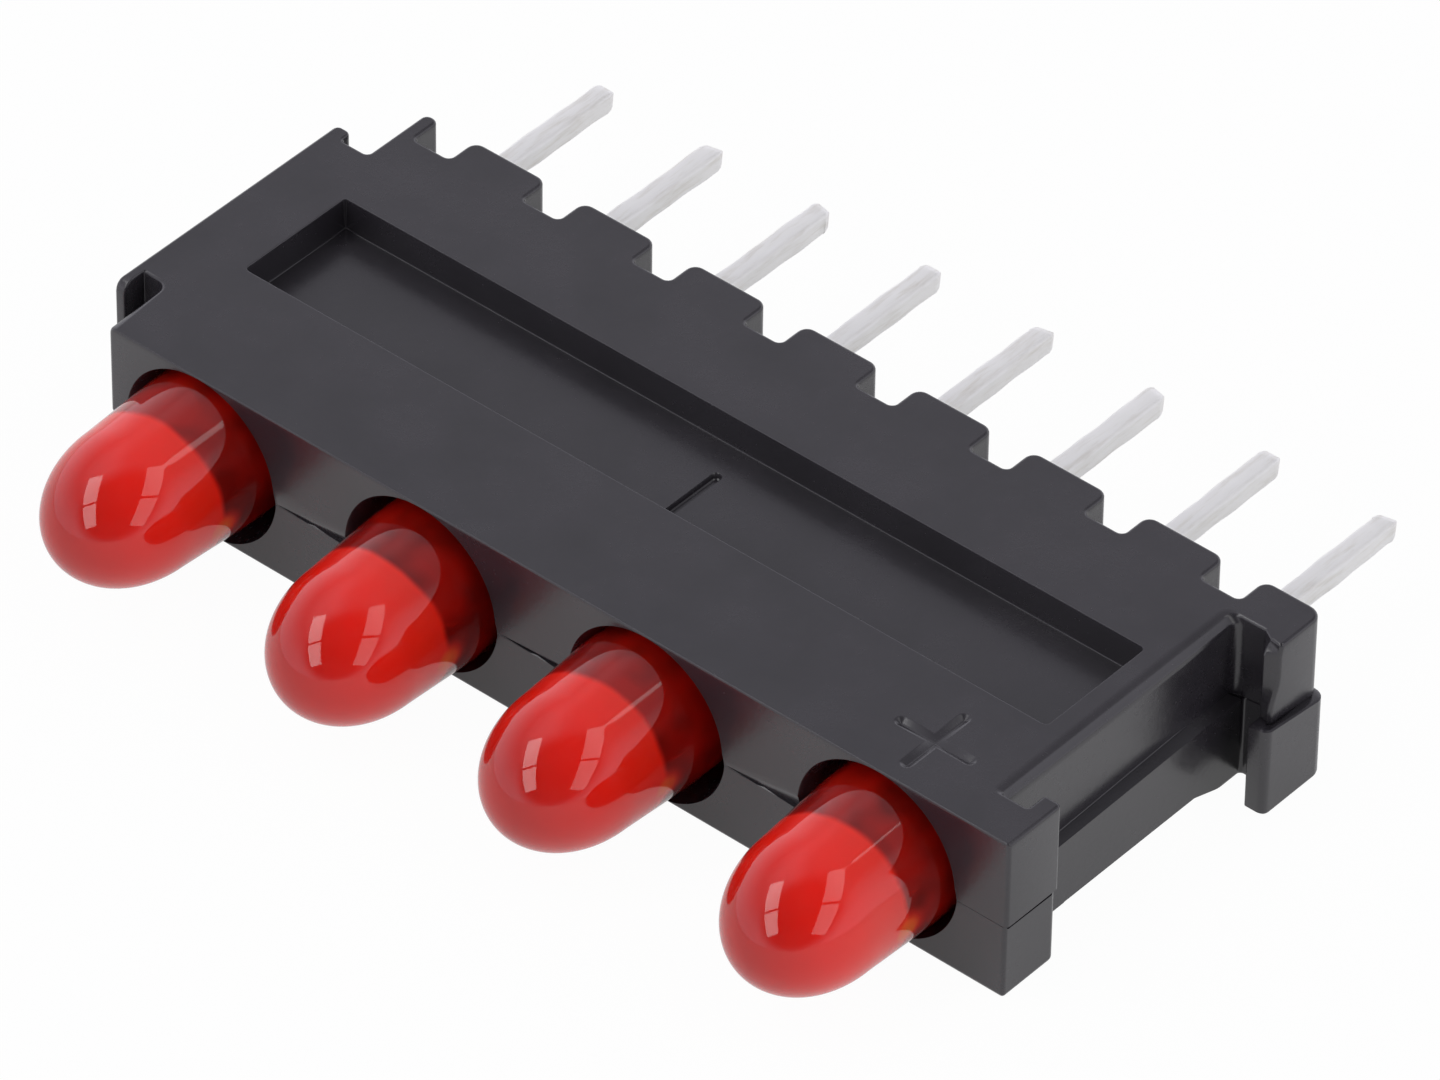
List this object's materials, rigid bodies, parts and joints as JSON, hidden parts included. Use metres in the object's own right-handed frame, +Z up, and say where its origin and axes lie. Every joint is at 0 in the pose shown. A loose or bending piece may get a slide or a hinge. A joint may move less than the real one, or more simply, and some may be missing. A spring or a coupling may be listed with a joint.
{
  "type": "circuit board led indicator",
  "caption": "Low black moulded housing with round red LEDs in a row along its front, straight leads out of its back and hooked stacking ends; a status indicator for a circuit board.",
  "frame": {"origin": "on the underside, at the front face, under the middle of the LED row", "axes": "+X along the LED row, -Y the way the LEDs point, +Y the way the leads leave, +Z up"},
  "size_m": [0.0212, 0.0157, 0.0035],
  "materials": {
    "housing": "satin moulded black",
    "lens": "clear-gloss red cast epoxy, diffused",
    "lead": "bright tin plated",
    "die": "smooth semiconductor",
    "wire": "bright gold wire"
  },
  "bodies": {
    "root": {"housing": "housing", "led_lens_1": "lens", "led_lens_2": "lens", "led_lens_3": "lens", "led_lens_4": "lens", "anode_lead_1": "lead", "anode_lead_2": "lead", "anode_lead_3": "lead", "anode_lead_4": "lead", "cathode_lead_1": "lead", "cathode_lead_2": "lead", "cathode_lead_3": "lead", "cathode_lead_4": "lead", "led_chip_1": "die", "led_chip_2": "die", "led_chip_3": "die", "led_chip_4": "die", "bond_wire_1": "wire", "bond_wire_2": "wire", "bond_wire_3": "wire", "bond_wire_4": "wire"}
  },
  "joints": []
}
